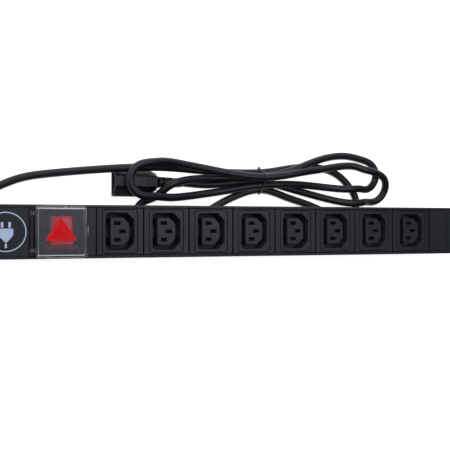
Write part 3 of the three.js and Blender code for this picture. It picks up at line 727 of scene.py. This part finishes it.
def socket_mesh():
    """A C13 outlet about its own middle in X, at its real height in Z."""
    low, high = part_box(OUTLETS[0])
    width, height = high.x - low.x, high.y - low.y
    floor = low.z + 0.0005

    def insert(grow):
        return inlet_outline(width, height, 0.0014, 0.0018, 0.0022, grow)

    def recess(grow):
        return inlet_outline(*RECESS, 0.0058, 0.0009, 0.0034, grow)

    def tower(grow):
        return inlet_outline(*TOWER, 0.005, 0.0008, 0.002, grow)

    rings = [level(insert(0), low.z)]
    rings += [level(insert(-inwards), high.z + up) for inwards, up in over_edge(0.0004)]
    rings += [level(recess(inwards), high.z + up) for inwards, up in reversed(over_edge(0.0004))]
    rings += [level(recess(0), floor), level(tower(0), floor)]
    top = high.z - TOWER_DOWN
    rings += [level(tower(-inwards), top + up) for inwards, up in over_edge(0.0004)]
    body = skin(rings)

    # Ledges beside the tower, and a small pocket at each end of a ledge.
    ledge, reach = high.z - LEDGE_DOWN, LEDGE_HALF
    wall, inner = RECESS[0] / 2, TOWER[0] / 2
    ledges = []
    for side in (-1, 1):
        start, end = sorted((side * inner, side * wall))
        ledges.append(block((start - 0.0001, -reach, floor - 0.0003), (end + 0.0001, reach, ledge)))
    body = combined(body, ledges, "UNION")
    cuts = []
    for side in (-1, 1):
        for y in (-reach, reach):
            x, inset = side * (wall - 0.0012), math.copysign(0.0007, y)
            low_at = (x - 0.0008, y - inset - 0.0006, floor + 0.001)
            cuts.append(block(low_at, (x + 0.0008, y - inset + 0.0006, ledge + 0.001)))
    for x, y in SLOT_PLACES:
        half = (SLOT[0] / 2, SLOT[1] / 2)
        mouth = [
            level(box_outline(*SLOT, 0.0003), low.z - 0.001),
            level(box_outline(*SLOT, 0.0003), top - 0.0003),
            level(box_outline(*SLOT, 0.0003, 0.0006), top + 0.0003),
        ]
        cut = skin(mouth)
        bmesh.ops.translate(cut, vec=(x, y, 0), verts=cut.verts)
        cuts.append(cut)
    return combined(body, cuts, "DIFFERENCE")


def frame_mesh():
    """A module's face frame about its own middle in X."""
    low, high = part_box("outlet_frame_1")
    insert_low, insert_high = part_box(OUTLETS[0])
    size = (high.x - low.x, high.y - low.y)
    window = tuple(insert_high[i] - insert_low[i] + FRAME_GAP for i in (0, 1))
    rings = [level(box_outline(*size, 0.0006), low.z)]
    rings += [
        level(box_outline(*size, 0.0006, -inwards), high.z + up)
        for inwards, up in over_edge(0.0005)
    ]
    rings += [
        level(box_outline(*window, 0.0025, inwards), high.z + up)
        for inwards, up in reversed(over_edge(0.0003))
    ]
    rings += [level(box_outline(*window, 0.0025), low.z)]
    return skin(rings, closed=True)


def make_outlets():
    meshes = {}
    parts = (
        ("socket", socket_mesh(), "outlet_plastic"),
        ("frame", frame_mesh(), "module_plastic"),
    )
    for name, bm, look in parts:
        mesh = mesh_of(bm, name)
        mesh.shade_smooth()
        mesh.set_sharp_from_angle(angle=math.radians(38))
        mesh.materials.append(LOOKS[look])
        meshes[name] = mesh
    for i, node in enumerate(OUTLETS, 1):
        at = (middle(node).x, 0, 0)
        piece(f"socket_{i}", meshes["socket"], "outlet_plastic", replaces=[node], at=at)
        piece(f"face_frame_{i}", meshes["frame"], "module_plastic", replaces=[f"outlet_frame_{i}"], at=at)


make_outlets()

# ------------------------------------------------------------ switch
COVER_WALL = 0.0016
COVER_EDGE = 0.0017
COVER_FOOT = 0.0533  # Z of the cover's lower rim
KNUCKLE_FROM, KNUCKLE_LENGTH = 0.0134, 0.0035  # each knuckle's inner end, off the middle
KNUCKLE_R, KNUCKLE_BORE = 0.0019, 0.0013
PRINT_T = 0.00008
SYMBOL_BASE = -0.0071  # Y of the triangle's base
SYMBOL_TOP = 0.0125
SYMBOL_HALF = 0.0132
SYMBOL_BAR = (-0.0138, -0.0107)
ROCKER_PIVOT_Z = 0.048
ROCKER_REST = math.radians(-12)
ROCKER_HALF = 0.0087  # half its width along X
ROCKER_TOP = [  # (y, z) about the axle
    (-0.0118, 0.0058), (-0.0105, 0.0061), (-0.0055, 0.0046), (0, 0.0039),
    (0.0055, 0.0046), (0.0105, 0.0061), (0.0118, 0.0058),
]


def flat_layer(name, outlines, z, look, body):
    """Thin flat shapes on a face at z, each (outer, inner) rings of points; inner may be None."""
    bm = bmesh.new()
    for outer, inner in outlines:
        if inner:
            up = z + PRINT_T
            rings = [level(outer, z), level(outer, up), level(inner, up), level(inner, z)]
            part = skin(rings, closed=True)
        else:
            part = skin([level(outer, z), level(outer, z + PRINT_T)])
        part_mesh = mesh_of(part, "print_part")
        bm.from_mesh(part_mesh)
        bpy.data.meshes.remove(part_mesh)
    piece(name, bm, look, body=body)


def shifted(points, x, y):
    return [Vector((p.x + x, p.y + y)) for p in points]


def triangle(half, bottom, top, radius):
    return filleted([(half, bottom), (0, top), (-half, bottom)], [radius] * 3)


def make_cover():
    low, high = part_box("switch_cover")
    pin = middle("cover_hinge_pin")
    x1 = high.x - 0.0022
    wall_x0 = pin.x + 0.0023
    size = (x1 - wall_x0, high.y - low.y)
    centre = (wall_x0 + x1) / 2
    top = high.z - PRINT_T - 0.00002
    inside = (size[0] - 2 * COVER_WALL, size[1] - 2 * COVER_WALL)
    rings = [level(box_outline(*size, 0.0022), COVER_FOOT)]
    rings += [
        level(box_outline(*size, 0.0032, -inwards), top + up)
        for inwards, up in over_edge(COVER_EDGE, 6)
    ]
    shell = skin(rings)
    hollow_top = top - COVER_WALL
    hollow = [level(box_outline(*inside, 0.001), COVER_FOOT - 0.001)]
    hollow += [
        level(box_outline(*inside, 0.0016, -inwards), hollow_top + up)
        for inwards, up in over_edge(0.0014, 5)
    ]
    shell = combined(shell, [skin(hollow)], "DIFFERENCE")
    bmesh.ops.translate(shell, vec=(centre, 0, 0), verts=shell.verts)
    joins, bores = [], []
    for side in (-1, 1):
        y0 = KNUCKLE_FROM if side > 0 else -KNUCKLE_FROM - KNUCKLE_LENGTH
        knuckle = turned([
            (0, KNUCKLE_R - 0.0003), (0.0003, KNUCKLE_R),
            (KNUCKLE_LENGTH - 0.0003, KNUCKLE_R), (KNUCKLE_LENGTH, KNUCKLE_R - 0.0003),
        ], 24)
        joins.append(along(knuckle, (0, 1, 0), (pin.x, y0, pin.z)))
        web_end = (wall_x0 + 0.0008, y0 + KNUCKLE_LENGTH, pin.z + KNUCKLE_R)
        joins.append(block((pin.x, y0, pin.z - 0.0016), web_end, 0.0003))
        bore = turned([(-0.001, KNUCKLE_BORE), (KNUCKLE_LENGTH + 0.001, KNUCKLE_BORE)], 24)
        bores.append(along(bore, (0, 1, 0), (pin.x, y0, pin.z)))
    thumb_tab = ((x1 - 0.0008, -0.006, COVER_FOOT), (x1 + 0.0022, 0.006, COVER_FOOT + 0.0016))
    joins.append(block(*thumb_tab, 0.0005))
    body = combined(combined(shell, joins, "UNION"), bores, "DIFFERENCE")
    piece("clear_cover", body, "clear_cover", "cover", replaces=["switch_cover"], smooth=30)

    x = middle("switch_rocker").x - 0.0019
    outer = triangle(SYMBOL_HALF, SYMBOL_BASE, SYMBOL_TOP, 0.0012)
    inner = triangle(SYMBOL_HALF - 0.0045, SYMBOL_BASE + 0.0023, SYMBOL_TOP - 0.0054, 0.0006)
    shapes = [(shifted(outer, x, 0), shifted(inner, x, 0))]
    flat_layer("cover_symbol", shapes, top, "symbol", "cover")
    shapes = [(shifted(inner, x, 0), None)]
    flat_layer("cover_symbol_film", shapes, top, "symbol_film", "cover")
    bar = box_outline(2 * SYMBOL_HALF, SYMBOL_BAR[1] - SYMBOL_BAR[0], 0.0004)
    shapes = [(shifted(bar, x, sum(SYMBOL_BAR) / 2), None)]
    flat_layer("cover_symbol_bar", shapes, top, "symbol_bar", "cover")


def make_rocker():
    """The rocker, made level about its axle and then tilted as the node is at rest."""
    pivot = Vector((middle("switch_rocker").x, 0, ROCKER_PIVOT_Z))
    outline = [(-0.0098, -0.003), (0, -0.0046), (0.0098, -0.003), *reversed(ROCKER_TOP)]
    rings = []
    for inwards, out in [(0.0007, 0), (0.0002, 0.0002), (0, 0.0007)]:
        rings.append([
            Vector((-ROCKER_HALF + out, y * (1 - inwards / 0.012), z - inwards * (z > 0)))
            for y, z in outline
        ])
    rings += [[Vector((-p.x, p.y, p.z)) for p in ring] for ring in reversed(rings)]
    bm = skin(rings)
    axle = along(turned([(-0.0096, 0.0013), (0.0096, 0.0013)], 16), (1, 0, 0), (0, 0, 0))
    bar = block((-0.0006, -0.0092, 0.004), (0.0006, -0.006, 0.0064), 0.0001)
    bm = combined(bm, [axle, bar], "UNION")
    turn = Matrix.Translation(pivot) @ Matrix.Rotation(ROCKER_REST, 4, "X")
    bmesh.ops.transform(bm, matrix=turn, verts=bm.verts)
    piece("red_rocker", bm, "rocker_red", "rocker", replaces=["switch_rocker"], smooth=30)


make_cover()
make_rocker()

# ------------------------------------------------------------ badge and screws
PRONG = (0.002, 0.0046, 0.0006)
LEAD = (0.0016, 0.0036, 0.0002)
SCREW_HEAD = 0.0022
THREAD_R, THREAD_ROOT, THREAD_PITCH = 0.0016, 0.00128, 0.0008


def make_badge():
    low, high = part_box("label_badge")
    centre, radius = (low + high) / 2, (high.x - low.x) / 2
    bm = turned([(low.z, radius - 0.0001), (high.z - 0.00012, radius), (high.z, radius - 0.00012)], 96)
    bmesh.ops.translate(bm, vec=(centre.x, 0, 0), verts=bm.verts)
    piece("badge_disc", bm, "badge", replaces=["label_badge"])
    ring = (circle(radius - 0.0003, 96), circle(radius - 0.0012, 96))
    plug_face = filleted(
        [(-0.0058, 0.0026), (-0.0058, -0.0028), (0, -0.0092), (0.0058, -0.0028), (0.0058, 0.0026)],
        [0.0009, 0.0042, 0.0012, 0.0042, 0.0009],
    )
    prongs = [(shifted(box_outline(*PRONG), side * 0.0029, 0.0056), None) for side in (-1, 1)]
    lead = (shifted(box_outline(*LEAD), 0, -0.0112), None)
    shapes = [ring, (plug_face, None), *prongs, lead]
    placed = [
        (shifted(outer, centre.x, 0), shifted(inner, centre.x, 0) if inner else None)
        for outer, inner in shapes
    ]
    flat_layer("badge_pictogram", placed, high.z, "print", "strip")


def make_ear_screws():
    low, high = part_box("ear_screw_left_1")
    radius = (high.y - low.y) / 2
    tip = SCREW_HEAD - (high.x - low.x)
    z = tip + 0.0006
    profile = [(tip, 0.0011), (z, THREAD_R)]
    while z < -0.0012:
        profile += [(z + 0.0003, THREAD_R), (z + 0.0005, THREAD_ROOT), (z + 0.0006, THREAD_ROOT)]
        z += THREAD_PITCH
    profile += [(0, THREAD_R), (0, radius - 0.0001), (0.0001, radius), (0.0009, radius - 0.0001)]
    profile += [(0.0015, radius - 0.0005), (0.0019, radius - 0.0012)]
    profile += [(SCREW_HEAD, radius - 0.0022)]
    cross = [block((-0.0019, -0.0004, 0.0009), (0.0019, 0.0004, 0.004))]
    cross.append(block((-0.0004, -0.0019, 0.0009), (0.0004, 0.0019, 0.004)))
    shape = combined(turned(profile, 32), cross, "DIFFERENCE")
    for side, place in ((-1, "left"), (1, "right")):
        for i in (1, 2):
            node = f"ear_screw_{place}_{i}"
            low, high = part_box(node)
            seat = low.x + SCREW_HEAD if side < 0 else high.x - SCREW_HEAD
            at = (seat, (low.y + high.y) / 2, (low.z + high.z) / 2)
            copy = along(shape.copy(), (side, 0, 0), at)
            piece(f"cap_screw_{place}_{i}", copy, "steel", replaces=[node])
    shape.free()


make_badge()
make_ear_screws()

# ------------------------------------------------------------ CAD nodes that stay
def softened(node, look, edge):
    """A CAD node with its material, its edges softened by a bevel modifier."""
    obj = NODES[node]
    obj.data.materials.clear()
    obj.data.materials.append(LOOKS[look])
    weld = obj.modifiers.new("weld", "WELD")
    weld.merge_threshold = 0.00001
    if edge:
        bevel = obj.modifiers.new("edges", "BEVEL")
        bevel.width = edge
        bevel.segments = 2
        bevel.limit_method = "ANGLE"
        bevel.angle_limit = math.radians(30)
        bevel.harden_normals = True
    return obj


def rounded_wire(node, look):
    obj = softened(node, look, 0)
    smooth = obj.modifiers.new("round", "SUBSURF")
    smooth.levels = 2
    smooth.render_levels = 2
    for face in obj.data.polygons:
        face.use_smooth = True


EDGES = {
    "housing_channel": ("channel_powder", 0.0003),
    "rack_ear_left": ("channel_powder", 0.0003),
    "rack_ear_right": ("channel_powder", 0.0003),
    "end_cap_left": ("module_plastic", 0.0005),
    "end_cap_right": ("module_plastic", 0.0005),
    "label_panel": ("module_plastic", 0.0003),
    "blank_panel": ("module_plastic", 0.0004),
    "switch_bezel": ("module_plastic", 0.0003),
    "switch_body": ("black_plastic", 0.0003),
    "cover_hinge_pin": ("module_plastic", 0.0002),
    "plug_pin_carrier": ("black_plastic", 0.0002),
    "plug_pin_live": ("steel", 0.0005),
    "plug_pin_neutral": ("steel", 0.0005),
    "plug_pin_earth": ("steel", 0.0005),
    "earth_bond_screw": ("steel", 0.0002),
    "neon_lamp": ("neon_glass", 0.0002),
}
for node, (look, edge) in EDGES.items():
    softened(node, look, edge)
for node in NODES:
    if node.startswith(("contact_blade", "terminal")):
        softened(node, "brass", 0.0001)
    if node.startswith("bus_bar"):
        softened(node, "tinned_copper", 0.0001)
    if node.startswith("wire_"):
        colour = "brown" if "live" in node else "blue" if "neutral" in node else "green"
        rounded_wire(node, f"wire_{colour}")

# ------------------------------------------------------------ floor and light
FLOOR_DROP = 0.0003
LIGHT_TINT = (0.93, 0.95, 1)


def make_floor():
    bm = bmesh.new()
    bmesh.ops.create_grid(bm, x_segments=2, y_segments=2, size=6)
    floor = bpy.data.objects.new("floor", mesh_of(bm, "floor"))
    floor.location = (0, 0, -FLOOR_DROP)
    glow = {"Emission Color": (1, 1, 1, 1), "Emission Strength": 0.85}
    material = finish(
        "floor_paper", (0.7, 0.7, 0.7), (0.8, 0.9), 0.01, 0.00001, vary=0.01, sockets=glow,
    )
    floor.data.materials.append(material)
    scene.collection.objects.link(floor)


def softbox(name, at, aim, size, power):
    data = bpy.data.lights.new(name, "AREA")
    data.shape = "RECTANGLE"
    data.size, data.size_y = size
    data.energy = power
    data.color = LIGHT_TINT
    lamp = bpy.data.objects.new(name, data)
    lamp.location = at
    lamp.rotation_euler = (Vector(aim) - Vector(at)).to_track_quat("-Z", "Y").to_euler()
    scene.collection.objects.link(lamp)


make_floor()
softbox("key", (0.115, 0.12, 0.75), (0.04, 0.02, 0), (0.5, 0.24), 1.5)
softbox("side", (-0.9, 0.6, 0.8), (-0.1, 0.02, 0), (0.9, 0.5), 2.2)
softbox("rim", (-0.15, 1.15, 0.55), (0, 0.05, 0), (1.4, 0.35), 4)


def make_world():
    """A pale studio that darkens towards -Y and +X."""
    world = bpy.data.worlds.new("studio")
    world.use_nodes = True
    tree = world.node_tree
    background = tree.nodes["Background"]
    background.inputs["Color"].default_value = (0.86, 0.9, 1, 1)
    place = tree.nodes.new("ShaderNodeTexCoord")
    lean = tree.nodes.new("ShaderNodeVectorMath")
    lean.operation = "DOT_PRODUCT"
    lean.inputs[1].default_value = (-0.6, 1, 0)
    strength = tree.nodes.new("ShaderNodeMapRange")
    limits = {"From Min": -0.6, "From Max": 0.15, "To Min": 0.06, "To Max": 0.58}
    for socket, value in limits.items():
        strength.inputs[socket].default_value = value
    tree.links.new(place.outputs["Generated"], lean.inputs[0])
    tree.links.new(lean.outputs["Value"], strength.inputs["Value"])
    tree.links.new(strength.outputs["Result"], background.inputs["Strength"])
    scene.world = world


make_world()
scene.view_settings.view_transform = "Standard"
